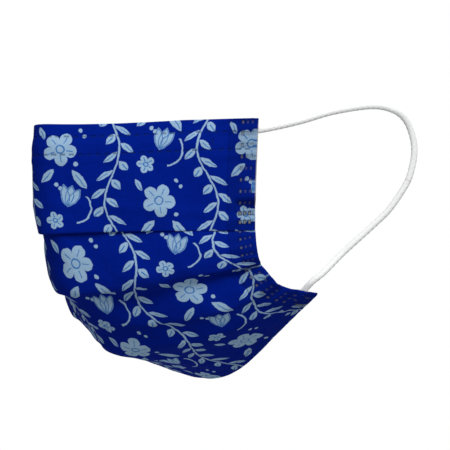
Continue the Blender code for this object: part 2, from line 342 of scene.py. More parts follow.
def laid_flat(made, held_rows):
    """The surface's flat coordinates, moved until neighbours lie as far apart as they do on the cloth.

    This is worked out on a coarse grid. The rows down to held_rows keep their places."""
    rows, width = made.below.shape
    pick_rows = np.unique(np.linspace(0, rows - 1, COARSE_ROWS).astype(int))
    pick_columns = np.unique(np.linspace(0, width - 1, COARSE_COLUMNS).astype(int))
    grid = np.ix_(pick_rows, pick_columns)
    start = made.flat[grid]
    pairs = neighbour_pairs(made.points[grid])
    free = (pick_rows > held_rows)[:, None, None]
    flat = start.copy()
    for _ in range(RELAXING_ROUNDS):
        shift = np.zeros_like(flat)
        for here, there, rest in pairs:
            gap = flat[there] - flat[here]
            length = np.linalg.norm(gap, axis=-1)
            pull = gap * ((length - rest) / length / 2)[..., None]
            shift[here] += pull
            shift[there] -= pull
        flat += RELAXING_STEP * shift * free
    change = flat - start
    by_row = filled_in(change, pick_rows, rows)
    return made.flat + filled_in(by_row.swapaxes(0, 1), pick_columns, width).swapaxes(0, 1)


def raised(made, height):
    """The surface with its points moved out by height, and its directions worked out."""
    down, inward = directions(made.points)
    return made._replace(points=made.points - inward * height[..., None], inward=inward, down=down)


# Relief


Wave = namedtuple("Wave", "height across below phase")

# Soft unevenness of the cloth: height and wave lengths across and down in mm.
SOFT_WAVES = (
    Wave(0.30, 61, 83, 0.4),
    Wave(0.26, -47, 39, 1.9),
    Wave(0.16, 27, -58, 0.7),
    Wave(0.10, -19, 23, 2.6),
    Wave(0.05, 11, 17, 5.1),
    Wave(0.04, -9, 13, 3.3),
)

Crease = namedtuple("Crease", "across_1 below_1 across_2 below_2 half_width height")

# Creases on the +X half, in mm of cloth from the middle and from the top edge.
CREASES = (
    Crease(2, 32, 28, 33, 2.2, 0.22),
    Crease(28, 33, 62, 37, 2.0, 0.28),
    Crease(62, 37, 78, 40, 1.8, 0.30),
    Crease(30, 63, 60, 60, 2.6, 0.22),
    Crease(52, 8, 60, 26, 5.0, -0.20),
)


def crease_height(crease, across, below):
    """The height of a soft fold along the line between the crease's ends."""
    start = np.array([crease.across_1, crease.below_1]) * MM
    run = np.array([crease.across_2, crease.below_2]) * MM - start
    length = math.hypot(*run)
    along = ((across - start[0]) * run[0] + (below - start[1]) * run[1]) / length**2
    off = ((below - start[1]) * run[0] - (across - start[0]) * run[1]) / length
    ends = rise(along, -0.15, 0.1) * (1 - rise(along, 0.9, 1.15))
    return crease.height * MM * ends * hump(off, 0.0, crease.half_width * MM * 1.6)


Dent = namedtuple("Dent", "below reach opening depth")

# Where the ends of the pleats pinch the side bands: sizes in mm.
DENTS = (
    Dent(31.7, 8.6, 3.4, 3.5),
    Dent(56.0, 7.0, 2.2, 1.5),
    Dent(70.5, 8.0, 2.0, 0.5),
)


def dent_height(dent, to_side, below):
    """A wedge that opens towards the side edge: the cloth swells above it and dips below it."""
    share = np.sqrt(np.clip(1 - to_side / (dent.reach * MM), 0.0, 1.0))
    upper = dent.below * MM
    lower = upper + dent.opening * MM * (0.75 * share + 0.25)
    swell = rise(below, upper - 9 * MM, upper - 1 * MM)
    back = 1 - rise(below, lower, lower + 8 * MM)
    dip = 0.45 - np.clip((below - upper) / (lower - upper), 0.0, 1.0)
    return dent.depth * MM * share * swell * back * dip


Overhang = namedtuple("Overhang", "level centre_depth depth side_depth drop")

# The second and third pleats: the row of LOWER_ROWS where each has its lip, and sizes in mm.
OVERHANGS = (
    Overhang(4, 0.9, 1.6, 0.4, 3.4),
    Overhang(7, 0.5, 0.8, 0.5, 1.6),
)


def overhang_height(fold, made):
    """A pleat's lip: the cloth stands out above it and lies back below it."""
    past = made.below - made.below[nearest(made.levels, fold.level)]
    size = np.abs(made.across)
    depth = fold.centre_depth + (fold.depth - fold.centre_depth) * rise(size, 2 * MM, 14 * MM)
    depth += (fold.side_depth - fold.depth) * rise(size, 18 * MM, 44 * MM)
    above = rise(past, -12 * MM, -1 * MM)
    back = 1 - rise(past, 4 * MM, 16 * MM)
    return depth * MM * above * back * (0.5 - rise(past, 0.0, fold.drop * MM))


# Fine gathers beside the side bands.
PUCKER_HEIGHT = 0.16 * MM
PUCKER_REACH = 7 * MM
PUCKER_PITCH = 6.3 * MM

# The nose wire's casing stands out, and so does the cloth where an edge is turned in.
CASING_HEIGHT = 0.35 * MM
CASING_HALF_WIDTH = 4 * MM
CASING_END = 3 * MM
HEM_HEIGHT = 0.22 * MM
HEM_STEP = 0.6 * MM


def wave_height(across, below):
    """The soft unevenness of the whole cloth."""
    height = np.zeros_like(below)
    for wave in SOFT_WAVES:
        turn = across / (wave.across * MM) + below / (wave.below * MM)
        height += wave.height * MM * np.sin(2 * np.pi * turn + wave.phase)
    return height


def pucker_height(across, below, to_side):
    """Gathers that run out from the side bands and fade."""
    reach = np.exp(-np.maximum(to_side - BAND_WIDTH, 0.0) / PUCKER_REACH)
    fan = below / PUCKER_PITCH + 0.6 * np.sin(below / (9 * MM)) + across / (60 * MM)
    return PUCKER_HEIGHT * reach * np.sin(2 * np.pi * fan)


def casing_height(across, below):
    """The swelling over the nose wire, as long as the wire."""
    end = WIRE_LENGTH / 2
    ends = 1 - rise(np.abs(across), end, end + CASING_END)
    return CASING_HEIGHT * hump(below, WIRE_BELOW_EDGE, CASING_HALF_WIDTH) * ends


def hem_height(from_edge, width):
    """The step at the end of an edge that is turned in this wide."""
    return HEM_HEIGHT * (1 - rise(from_edge, width - HEM_STEP, width + HEM_STEP))


def relief(made):
    """How far the outer face stands out from the plain surface. The cloth lies calmer along the hem."""
    across, below, to_hem, to_side = made.across, made.below, made.to_hem, made.to_side
    calm = 0.3 + 0.7 * rise(to_hem, 3 * MM, 18 * MM)
    height = (wave_height(across, below) + pucker_height(across, below, to_side)) * calm
    height += sum(crease_height(crease, np.abs(across), below) for crease in CREASES)
    height += sum(dent_height(dent, to_side, below) for dent in DENTS)
    height += casing_height(across, below)
    return height + hem_height(below, TOP_HEM) + hem_height(to_hem, BOTTOM_HEM)


# Sheets of cloth

Station = namedtuple("Station", "points flat to_hem to_side")


def at(made, row, depth, extra=0.0):
    """One line of a sheet's path: the surface's row, behind its outer face by depth, pressed, and extra."""
    points = made.points[row] + made.inward[row] * (depth * made.pinch[row] + extra)[:, None]
    return Station(points, made.flat[row], made.to_hem[row], made.to_side[row])


def turned_fold(made, row, first, last, way, count=7):
    """The lines of a round fold at a row, from one depth to another. way is 1 below the row and -1 above.

    Where the layers are pressed the fold is flatter, and as far from the row as elsewhere."""
    radius, pinch = (last - first) / 2, made.pinch[row]
    lines = []
    for i in range(1, count):
        angle = math.pi * i / count
        depth = (first + last) / 2 - radius * math.cos(angle)
        drop = way * abs(radius) * (1 - pinch + pinch * math.sin(angle))
        line = at(made, row, depth)
        flat = line.flat + np.stack([np.zeros_like(drop), drop], axis=-1)
        lines.append(line._replace(points=line.points + made.down[row] * drop[:, None], flat=flat))
    return lines


def middle_of(made):
    return made.points.shape[1] // 2


def row_below(made, distance):
    """The row at this distance down the middle of the cloth."""
    return nearest(made.below[:, middle_of(made)], distance)


def meshed(name, points, faces, sharp_degrees, material, maps):
    """A smooth object from these points and faces. maps holds UV maps: lengths that are kept in mm."""
    mesh = bpy.data.meshes.new(name)
    mesh.from_pydata(points.reshape(-1, 3).tolist(), [], faces)
    mesh.materials.append(material)
    mesh.shade_smooth()
    mesh.set_sharp_from_angle(angle=math.radians(sharp_degrees))
    loops = np.empty(len(mesh.loops), np.int64)
    mesh.loops.foreach_get("vertex_index", loops)
    for layer, values in maps.items():
        coordinates = (values / MM)[loops]
        mesh.uv_layers.new(name=layer).data.foreach_set("uv", coordinates.astype(np.float32).ravel())
    return linked(name, mesh)


def sheet_mesh(name, path, thickness, material):
    """A closed thin body along the path, with its cloth coordinates and its places from the edges."""
    middle = np.array([line.points for line in path])
    _, inward = directions(middle)
    rows, width = middle.shape[:2]
    points = np.stack([middle - inward * thickness / 2, middle + inward * thickness / 2])
    count = rows * width
    grid = np.arange(count).reshape(rows, width)
    front = np.stack([grid[:-1, :-1], grid[1:, :-1], grid[1:, 1:], grid[:-1, 1:]], axis=-1).reshape(-1, 4)
    rim = np.concatenate([grid[0], grid[1:, -1], grid[-1, -2::-1], grid[-2:0:-1, 0]])
    ahead = np.roll(rim, -1)
    sides = np.stack([rim, ahead, ahead + count, rim + count], axis=-1)
    quads = np.concatenate([front, front[:, ::-1] + count, sides])
    flat = np.array([line.flat for line in path]).reshape(-1, 2)
    edges = np.array([np.stack([line.to_side, line.to_hem], axis=-1) for line in path]).reshape(-1, 2)
    maps = {"cloth_mm": np.tile(flat, (2, 1)), "edge_mm": np.tile(edges, (2, 1))}
    return meshed(name, points, quads.tolist(), 50, material, maps)


def casing_depth(below):
    """How much further in the layers behind the nose wire lie."""
    return (WIRE_THICKNESS + 0.1 * MM) * hump(below, WIRE_BELOW_EDGE, WIRE_WIDTH / 2 + 3.0 * MM)


# The first pleat: its fold starts this far above the lip, and the cloth behind it goes on this far below
# the fold inside it. The lining stands off the outer layer there.
LIP_INSET = 0.4 * MM
POCKET_LAP = 0.8 * MM
POCKET_ROOM = 0.35 * MM
POCKET_FADE = (2 * MM, 9 * MM)

# The lining ends this far inside the turned-in edges.
LINING_INSET = 1.8 * MM


def first_pleat(top, lower):
    """The rows of the first pleat: its lip, the fold inside it, and the first one of the cloth behind it."""
    lip = top.below[-1, middle_of(top)]
    pocket = row_below(top, lip - PLEAT_OVERLAP)
    first = row_below(lower, top.below[pocket, middle_of(top)] + POCKET_LAP)
    return row_below(top, lip - LIP_INSET), pocket, first


def hem_row(lower, distance):
    """The row this far above the bottom edge."""
    return row_below(lower, lower.below[-1, middle_of(lower)] - distance)


def outer_path(top, lower):
    """The printed cloth: its top hem, the top panel, the first pleat, the rest and the bottom hem."""
    half = CLOTH / 2
    hem_depth = 2 * LAYER + half
    edge = row_below(top, LAYER)
    path = []
    for row in range(row_below(top, TOP_HEM), edge, -1):
        line = at(top, row, hem_depth, casing_depth(top.below[row]))
        path.append(line._replace(flat=line.flat * np.array([1.0, -1.0])))
    path += turned_fold(top, edge, hem_depth, half, -1)
    lip, pocket, first = first_pleat(top, lower)
    path += [at(top, row, half) for row in range(edge, lip + 1)]
    path += turned_fold(top, lip, half, 3 * LAYER + half, 1, 9)
    path += [at(top, row, 3 * LAYER + half) for row in range(lip, pocket, -2)]
    path += turned_fold(top, pocket, 3 * LAYER + half, 4 * LAYER + half, -1, 5)
    end = hem_row(lower, LAYER)
    path += [at(lower, row, half) for row in range(first, end + 1)]
    path += turned_fold(lower, end, half, hem_depth, 1)
    path += [at(lower, row, hem_depth) for row in range(end - 1, hem_row(lower, BOTTOM_HEM), -1)]
    return path


def lining_path(top, lower):
    """The white lining, inside the hems and folded into the first pleat with the outer layer."""
    depth = LAYER + CLOTH / 2
    lip, pocket, first = first_pleat(top, lower)
    rows = range(row_below(top, LINING_INSET), lip + 1)
    path = [at(top, row, depth, casing_depth(top.below[row])) for row in rows]
    path += turned_fold(top, lip, depth, depth + LAYER, 1, 5)
    path += [at(top, row, depth + LAYER) for row in range(lip, pocket, -2)]
    behind = depth + 4 * LAYER + POCKET_ROOM / top.pinch[pocket]
    path += turned_fold(top, pocket, depth + LAYER, behind, -1)
    for row in range(first, hem_row(lower, LINING_INSET) + 1):
        past = lower.below[row] - lower.below[first]
        path.append(at(lower, row, depth, POCKET_ROOM * (1 - rise(past, *POCKET_FADE))))
    return path


# Materials


class Number:
    """A value in a material, whose arithmetic writes Math nodes."""

    def __init__(self, tree, socket):
        self.tree = tree
        self.socket = socket

    def __add__(self, other):
        return maths("ADD", self, other)

    def __sub__(self, other):
        return maths("SUBTRACT", self, other)

    def __rsub__(self, other):
        return maths("SUBTRACT", other, self)

    def __mul__(self, other):
        return maths("MULTIPLY", self, other)

    def __truediv__(self, other):
        return maths("DIVIDE", self, other)


def maths(operation, *values, clamp=False):
    """One Math node on numbers and constants."""
    tree = next(value.tree for value in values if isinstance(value, Number))
    node = tree.nodes.new("ShaderNodeMath")
    node.operation = operation
    node.use_clamp = clamp
    for socket, value in zip(node.inputs, values):
        if isinstance(value, Number):
            tree.links.new(value.socket, socket)
        else:
            socket.default_value = value
    return Number(tree, node.outputs[0])


def absolute(value):
    return maths("ABSOLUTE", value)


def larger(first, *others):
    for other in others:
        first = maths("MAXIMUM", first, other)
    return first


def smaller(first, *others):
    for other in others:
        first = maths("MINIMUM", first, other)
    return first


def hypotenuse(x, y):
    return maths("SQRT", maths("MULTIPLY_ADD", x, x, y * y))


def filled(distance, soft=0.22):
    """1 inside an outline and 0 outside, from the signed distance in mm."""
    return maths("MULTIPLY_ADD", distance, -1 / soft, 0.5, clamp=True)


def moved(spot, x, y, degrees=0.0):
    """The spot seen from a motif at x, y that is turned by degrees."""
    dx, dy = spot[0] - x, spot[1] - y
    if not degrees:
        return dx, dy
    c, s = math.cos(math.radians(degrees)), math.sin(math.radians(degrees))
    return maths("MULTIPLY_ADD", dy, s, dx * c), maths("MULTIPLY_ADD", dx, -s, dy * c)


def leaf(spot, half_length_mm, half_width_mm):
    """The distance to an almond leaf that points up, with its middle at the spot's origin."""
    radius = (half_length_mm**2 + half_width_mm**2) / (2 * half_width_mm)
    aside = absolute(spot[0]) + (radius - half_width_mm)
    return hypotenuse(aside, spot[1]) - radius


def tapered(spot, half_length_mm, half_width_mm):
    """The distances to a leaf and to its vein, a line up its middle."""
    vein = larger(absolute(spot[0]) - 0.2, absolute(spot[1] + 0.8) - half_length_mm * 0.62)
    return leaf(spot, half_length_mm, half_width_mm), vein


def blossom(spot, radius, degrees):
    """The distances to a flower of five petals and to the lines in it."""
    away = hypotenuse(*spot)
    turn = maths("ARCTAN2", spot[1], spot[0]) * 2.5 + math.radians(degrees) * 2.5
    lobes = maths("SQRT", absolute(maths("COSINE", turn)))
    petals = away - (lobes * (0.5 * radius) + 0.5 * radius)
    ring = absolute(away - 0.24 * radius) - 0.26
    ray = larger(
        absolute(maths("SINE", turn)) * away * 0.4 - 0.18,
        absolute(away - 0.58 * radius) - 0.2 * radius,
    )
    return petals, smaller(ring, ray)


def tulip(spot, size):
    """The distances to a bud of three petals and to the lines in them."""
    petals = []
    for degrees in (-24, 0, 24):
        x, y = moved(spot, 0, 0, degrees)
        petals.append(leaf((x, y - size * 0.55), size * 0.62, size * 0.25))
    return smaller(*petals), smaller(*[absolute(petal + 0.3) - 0.18 for petal in petals])


def berries(spot, places, radius):
    """The distance to a few round berries."""
    return smaller(*[hypotenuse(spot[0] - x, spot[1] - y) - radius for x, y in places])


# The print: a tile of vines, leaves and blossoms, in mm, each second column half a tile lower.
TILE_WIDTH = 38.0
TILE_HEIGHT = 43.0
VINE_AT = 9.0
VINE_SWING = 3.6
LEAVES_PER_TILE = 6
PRINT_SHIFT = 17.0


def printed_pattern(across, below):
    """(cover, lines): where the pale print lies, and the blue lines left in it."""
    column = maths("FLOOR", across / TILE_WIDTH)
    x = across - column * TILE_WIDTH
    odd = maths("FLOORED_MODULO", column, 2.0)
    y = maths("FLOORED_MODULO", odd * (TILE_HEIGHT / 2) - below, TILE_HEIGHT)
    spot = x, y

    bend = maths("SINE", y * (2 * math.pi / TILE_HEIGHT)) * VINE_SWING
    from_vine = x - VINE_AT - bend
    pitch = TILE_HEIGHT / LEAVES_PER_TILE
    left = maths("LESS_THAN", from_vine, 0.0)
    along = maths("FLOORED_MODULO", y + left * (pitch / 2), pitch) - pitch / 2
    stalk = moved(spot, 31.5, 10.0)
    arc = absolute(hypotenuse(*stalk) - 6.3) - 0.34
    plain = (
        absolute(from_vine) - 0.38,
        larger(arc, stalk[0] * -1.0, stalk[1] - 4.0),
        berries(spot, ((34.6, 40.6), (36.2, 38.2), (33.3, 27.2), (24.8, 19.0), (26.3, 17.6)), 0.82),
    )
    outlines, inner = zip(
        tapered(moved((absolute(from_vine), along), 3.0, 0.8, 52), 3.1, 1.25),
        blossom(moved(spot, 27.0, 33.0), 6.6, 12),
        blossom(moved(spot, 23.0, 4.6), 3.6, 40),
        tulip(moved(spot, 28.5, 10.5, -18), 7.4),
        tapered(moved(spot, 34.2, 21.0, 34), 4.6, 1.75),
        tapered(moved(spot, 21.6, 22.6, -48), 3.9, 1.5),
        tapered(moved(spot, 19.6, 39.5, 28), 2.7, 1.1),
    )
    return filled(smaller(*plain, *outlines)), filled(smaller(*inner))


def mixed(tree, factor, first, second):
    """A colour between two colours, each a constant or a socket."""
    node = tree.nodes.new("ShaderNodeMix")
    node.data_type = "RGBA"
    sockets = {socket.name: socket for socket in node.inputs if socket.enabled}
    tree.links.new(factor.socket, sockets["Factor"])
    for name, value in (("A", first), ("B", second)):
        if isinstance(value, bpy.types.NodeSocket):
            tree.links.new(value, sockets[name])
        else:
            sockets[name].default_value = (*value, 1.0)
    return next(s for s in node.outputs if s.enabled)


def cloth_coordinates(tree, layer="cloth_mm"):
    """The two cloth coordinates of a UV map, in mm."""
    source = tree.nodes.new("ShaderNodeUVMap")
    source.uv_map = layer
    split = tree.nodes.new("ShaderNodeSeparateXYZ")
    tree.links.new(source.outputs["UV"], split.inputs[0])
    return Number(tree, split.outputs["X"]), Number(tree, split.outputs["Y"])


def noise(tree, x, y, scale, detail=2.0):
    """Smooth noise from 0 to 1 in the two coordinates."""
    combined = tree.nodes.new("ShaderNodeCombineXYZ")
    for socket, value in zip(combined.inputs, (x, y)):
        tree.links.new(value.socket, socket)
    node = tree.nodes.new("ShaderNodeTexNoise")
    node.inputs["Scale"].default_value = scale
    node.inputs["Detail"].default_value = detail
    tree.links.new(combined.outputs[0], node.inputs["Vector"])
    return Number(tree, node.outputs["Fac"])


def new_material(name, roughness, specular=0.02):
    """(material, tree, shader) of a cloth material."""
    made = bpy.data.materials.new(name)
    made.use_nodes = True
    shader = made.node_tree.nodes["Principled BSDF"]
    shader.inputs["Roughness"].default_value = roughness
    shader.inputs["Specular IOR Level"].default_value = specular
    return made, made.node_tree, shader


def dressed(tree, shader, colour, height, distance):
    """Gives the shader this colour, and a bump whose height of 1 stands out by the distance in mm."""
    tree.links.new(colour, shader.inputs["Base Color"])
    node = tree.nodes.new("ShaderNodeBump")
    node.inputs["Distance"].default_value = distance * MM
    node.inputs["Strength"].default_value = 1.0
    tree.links.new(height.socket, node.inputs["Height"])
    tree.links.new(node.outputs["Normal"], shader.inputs["Normal"])


def bonds(x, y, pitch=0.85):
    """The staggered bond points of nonwoven cloth: 1 in a point and 0 between them."""
    first = maths("COSINE", (x + y) * (2 * math.pi / pitch / 1.4))
    second = maths("COSINE", (x - y) * (2 * math.pi / pitch / 1.4))
    return maths("MULTIPLY_ADD", first * second, 1.6, -0.7, clamp=True)


def stripes(along, pitch, length):
    """Stripes across the way along: the distance to the nearest one."""
    return absolute(maths("FLOORED_MODULO", along, pitch) - pitch / 2) - length / 2


WeldRow = namedtuple("WeldRow", "shift inside pitch length")

# The rows of weld dashes beside the top edge and the hem, in mm, and the marks at the wire's two ends.
TOP_WELDS = (WeldRow(0.0, 5.0, 3.5, 2.0), WeldRow(1.2, 12.2, 3.5, 2.0))
HEM_WELDS = (WeldRow(0.0, 2.2, 3.3, 1.9), WeldRow(1.0, 5.6, 3.3, 1.9))
WELD_WIDTH = 0.7
WIRE_MARK_ACROSS = 70.5
WIRE_MARK_BELOW = 9.0
WELD_BLUE = (0.003, 0.011, 0.065)


def edge_welds(across, below, to_hem):
    """Where the weld dashes lie, and the mark at each end of the nose wire."""
    mark = larger(
        absolute(absolute(across) - WIRE_MARK_ACROSS) - 0.3,
        absolute(below - WIRE_MARK_BELOW) - 1.4,
    )
    for inside, rows in ((below, TOP_WELDS), (to_hem, HEM_WELDS)):
        for weld in rows:
            dashes = stripes(across + weld.shift, weld.pitch, weld.length)
            mark = smaller(mark, larger(dashes, absolute(inside - weld.inside) - WELD_WIDTH / 2))
    return filled(mark, 0.4)


# The side band's weld dots, in mm: three columns along the band, in even rows but for the two strongest
# ones, close above and below the lip of the first pleat.
DOT_COLUMNS = 1.9
DOT_ROWS = 4.6
DOTS_FROM_EDGE = 1.2
DOTS_TO = 7.0
LIP_BELOW = 39.6
LIP_TO_ROW = 1.75
DOT_RIM = (0.0, 0.004, 0.04)
DOT_FACE = (0.24, 0.25, 0.22)
BAND_RIM = (0.5, 0.43, 0.37)


def dotted(tree, colour, below, to_side):
    """(colour, dots): the weld dots and the fold's worn rim on the colour, and where the dots lie."""
    from_lip = absolute(below - LIP_BELOW)
    rows = larger(stripes(below - 3.7, DOT_ROWS, 1.0), DOT_ROWS - from_lip)
    rows = smaller(rows, absolute(from_lip - LIP_TO_ROW) - 0.45)
    columns_at = stripes(to_side - 1.3, DOT_COLUMNS, 0.6)
    inside = larger(rows, columns_at, to_side - DOTS_TO, DOTS_FROM_EDGE - to_side)
    bright = filled(from_lip - 3.2, 0.8)
    innermost = filled(absolute(to_side - 6.0) - 1.0)
    strong = larger(bright * 0.9, innermost * 0.5, 0.2)
    colour = mixed(tree, filled(inside - 0.45, 0.5) * strong, colour, DOT_RIM)
    colour = mixed(tree, filled(inside, 0.5) * strong, colour, DOT_FACE)
    rim = filled(to_side - 0.3, 0.25) * filled(absolute(below - 19.0) - 15.0, 6.0)
    return mixed(tree, rim * 0.8, colour, BAND_RIM), filled(inside - 0.3, 0.4)


def shades(tree, factor, colour, low, high):
    """The colour, mottled from low times itself to high times itself."""
    return mixed(tree, factor, tuple(low * c for c in colour), tuple(high * c for c in colour))


def printed_cloth(name, on_band=False):
    """Blue nonwoven with the pale print, welded along its edges; dotted on a side band, and darkened there by
    painted shade.
    """
    made, tree, shader = new_material(name, 0.85)
    across, below = cloth_coordinates(tree)
    to_side, to_hem = cloth_coordinates(tree, "edge_mm")
    wobble = noise(tree, across, below, 0.35) - 0.5
    drift = noise(tree, below + 40.0, across, 0.35) - 0.5
    cover, lines = printed_pattern(across + PRINT_SHIFT + wobble * 1.1, below + drift * 1.1)
    grain = noise(tree, across * 9.0, below * 1.4, 1.0)
    mottle = noise(tree, across, below, 0.5, 3.0)
    welds = edge_welds(across, below, to_hem)

    colour = mixed(tree, cover, shades(tree, mottle, BLUE, 0.86, 1.14), shades(tree, grain, PALE, 0.84, 1.1))
    colour = mixed(tree, lines * cover * 0.95, colour, MID_BLUE)
    colour = mixed(tree, welds * 0.55, colour, WELD_BLUE)
    if on_band:
        colour, dots = dotted(tree, colour, below, to_side)
        welds = larger(welds, dots)
        # Painted shade: the side band's colour is darkened towards a deep blue, as the band looks in shade.
        colour = mixed(tree, mottle * 0.1 + 0.15, colour, PAINTED_SHADE_BLUE)
    fibre = noise(tree, across, below, 3.2, 4.0)
    height = fibre * 0.5 + mottle * 0.9 - bonds(across, below) * 0.45 - welds * 1.3
    dressed(tree, shader, colour, height, 0.16)
    return made


def white_cloth(name):
    """The white nonwoven of the lining."""
    made, tree, shader = new_material(name, 0.9, 0.15)
    across, below = cloth_coordinates(tree)
    mottle = noise(tree, across, below, 0.4, 3.0)
    fibre = noise(tree, across, below, 2.4, 4.0)
    colour = mixed(tree, fibre, (0.74, 0.75, 0.76), (0.86, 0.86, 0.85))
    height = fibre * 0.6 + mottle * 0.9 - bonds(across, below, 1.1) * 0.6
    dressed(tree, shader, colour, height, 0.2)
    return made


STITCH = 0.55


def elastic_knit():
    """White knitted elastic: fine diagonal ribs, one for each stitch, in mm, with painted shade in the grooves
    between them.
    """
    made, tree, shader = new_material("elastic", 0.75, 0.25)
    around, along = cloth_coordinates(tree)
    ribs = maths("SINE", (along + around * 1.2) * (2 * math.pi / STITCH))
    cross = maths("SINE", (along - around * 1.2) * (2 * math.pi / STITCH))
    knit = absolute(ribs) * 0.5 + absolute(cross) * 0.5
    # Painted shade: the colour is darker where the knit lies lower, in the grooves between the ribs.
    colour = mixed(tree, knit, (0.70, 0.71, 0.72), (0.79, 0.79, 0.79))
    dressed(tree, shader, colour, knit, 0.06)
    return made


def wire_coat():
    """The plastic coat of the nose wire."""
    made, tree, shader = new_material("wire_coat", 0.45, 0.4)
    across, below = cloth_coordinates(tree)
    speckle = noise(tree, across, below, 1.5, 3.0)
    colour = mixed(tree, speckle, (0.66, 0.68, 0.70), (0.78, 0.79, 0.80))
    dressed(tree, shader, colour, speckle, 0.05)
    return made


# Pieces


def place_piece(made, node):
    """The piece rides on the one body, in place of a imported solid."""
    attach(made, "root")
    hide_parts(node)


# Ear loops


FINE_STEPS = 60


def smooth_path(route, spacing):
    """Points about this far apart on a smooth curve through the route."""
    padded = [2 * route[0] - route[1], *route, 2 * route[-1] - route[-2]]
    fine = []
    for four in zip(padded, padded[1:], padded[2:], padded[3:]):
        fine += [eased(*four, i / FINE_STEPS) for i in range(FINE_STEPS)]
    fine = np.array([*fine, route[-1]])
    lengths = np.concatenate([[0.0], np.cumsum(np.linalg.norm(np.diff(fine, axis=0), axis=1))])
    wanted = np.linspace(0.0, lengths[-1], round(lengths[-1] / spacing) + 1)
    return np.stack([np.interp(wanted, lengths, fine[:, k]) for k in range(3)], axis=-1), lengths[-1]


LOOP_SIDES = 20
LOOP_RING_SPACING = 0.16 * MM
LOOP_CARRIER_SPACING = 1.5 * MM

# At both ends the loop is welded this far, pressed flatter by this share, and eased into its free lie.
LOOP_WELD = 6 * MM
LOOP_PRESS = 0.45
LOOP_PRESS_FADE = 4 * MM
LOOP_SHIFT_FADE = 24 * MM

KNIT_RELIEF = 0.03 * MM
KNIT_RIBS = 5
KNIT_PITCH = 2.4 * MM


def laid_on(path, along, outward, band):
    """The path with its first stretch moved out on to the back of the side band, where it is welded."""
    mesh = band.data
    tree = BVHTree.FromPolygons([v.co for v in mesh.vertices], [f.vertices for f in mesh.polygons])
    start = path[nearest(along, LOOP_WELD / 2)]
    hit, _, _, distance = tree.ray_cast(Vector(start), Vector(outward))
    shift = distance - KNIT_DIAMETER / 2 * (1 - LOOP_PRESS) if hit else 0.0
    fading = 1 - rise(along, LOOP_WELD, LOOP_WELD + LOOP_SHIFT_FADE)
    return path + (shift * fading)[:, None] * outward


def loop_path(side, outward, band):
    """(path, length) of a loop, from the upper weld round to the lower one."""
    sag = FAR_LOOP_SAG if side < 0 else 0.0
    route = []
    for index, (x, y, z) in enumerate(LOOP_ROUTE):
        drop = sag * math.sin(math.pi * index / (len(LOOP_ROUTE) - 1)) ** 4
        route.append(np.array([side * x * MM, y * MM, z * MM - drop]))
    path, length = smooth_path(route, LOOP_RING_SPACING)
    along = np.linspace(0.0, length, len(path))
    path = laid_on(path, along, outward, band)
    path = laid_on(path[::-1], along, outward, band)[::-1]
    return path, float(np.linalg.norm(np.diff(path, axis=0), axis=1).sum())


def knit_rings(path, along, turn, side, outward):
    """The rings of points round the path: ribbed, and pressed flat where the loop is welded."""
    tangent = unit(np.gradient(path, axis=0))
    first = unit(np.cross(tangent, np.array([0.0, 0.0, 1.0]) + 0.3 * np.array([side, 1.0, 0.0])))
    second = np.cross(tangent, first)
    winding = 2 * np.pi * along[:, None] / KNIT_PITCH
    ribs = KNIT_RELIEF * (np.cos(KNIT_RIBS * turn + winding) + np.cos(KNIT_RIBS * turn - winding))
    ring = first[:, None] * np.cos(turn)[None, :, None] + second[:, None] * np.sin(turn)[None, :, None]
    from_end = np.minimum(along, along[-1] - along)
    pressed = LOOP_PRESS * (1 - rise(from_end, LOOP_WELD, LOOP_WELD + LOOP_PRESS_FADE))
    normal = unit(outward - (tangent @ outward)[:, None] * tangent)
    ring -= (pressed[:, None] * (ring * normal[:, None]).sum(-1))[..., None] * normal[:, None]
    return path[:, None] + ring * (KNIT_DIAMETER / 2 + ribs)[..., None]


def ear_loop(name, side, material, band):
    """A round knitted elastic from the upper weld to the lower one, flattened where it is welded."""
    outward = unit(np.array([side, -1.0, 0.0]))
    path, length = loop_path(side, outward, band)
    count = len(path)
    along = np.linspace(0.0, length, count)
    turn = 2 * np.pi * np.arange(LOOP_SIDES) / LOOP_SIDES
    grid = np.arange(count * LOOP_SIDES).reshape(count, LOOP_SIDES)
    ahead = np.roll(grid, -1, axis=1)
    quads = np.stack([grid[:-1], ahead[:-1], ahead[1:], grid[1:]], axis=-1).reshape(-1, 4).tolist()
    caps = [grid[0, ::-1].tolist(), grid[-1].tolist()]
    around = np.tile(turn * KNIT_DIAMETER / 2, count)
    unrolled = np.stack([around, np.repeat(along, LOOP_SIDES)], axis=-1)
    points = knit_rings(path, along, turn, side, outward)
    made = meshed(name + "_knit", points, quads + caps, 60, material, {"cloth_mm": unrolled})
    place_piece(made, name)
    carriers = path[np.linspace(0, count - 1, round(length / LOOP_CARRIER_SPACING)).astype(int)]


# The body


SMOOTHING_PASSES = 4


def smoothed(made):
    """The surface with its folds rounded, by a running mean down the rows."""
    points = made.points.copy()
    for _ in range(SMOOTHING_PASSES):
        points[1:-1] = 0.25 * points[:-2] + 0.5 * points[1:-1] + 0.25 * points[2:]
    return made._replace(points=points)


def body_surfaces(s, unroll=False):
    """The top panel's surface and the lower one's, which starts behind the first pleat."""
    top = surface(TOP_ROWS, s)
    lower = surface(LOWER_ROWS, s, above=top)
    top = top._replace(to_hem=lower.below[-1] - top.below)
    lip = nearest(lower.levels, 1)
    if unroll:
        lower = lower._replace(flat=laid_flat(lower, lip))
    pressed = PLEAT_STEP * (1 - lower.pinch) * (1 - rise(lower.below - lower.below[lip], 0.0, 22 * MM))
    folds = sum(overhang_height(fold, lower) for fold in OVERHANGS)
    return raised(top, relief(top)), raised(smoothed(lower), relief(lower) + pressed + folds)


def columns():
    """The places along a row, from inside the -X side band to inside the +X one."""
    end = 1 - BAND_TUCK / half_length(TOP_ROWS[3])
    half = [end * (i / HALF_COLUMNS) ** COLUMN_CROWDING for i in range(1, HALF_COLUMNS + 1)]
    return np.array([-s for s in reversed(half)] + [0.0] + half)


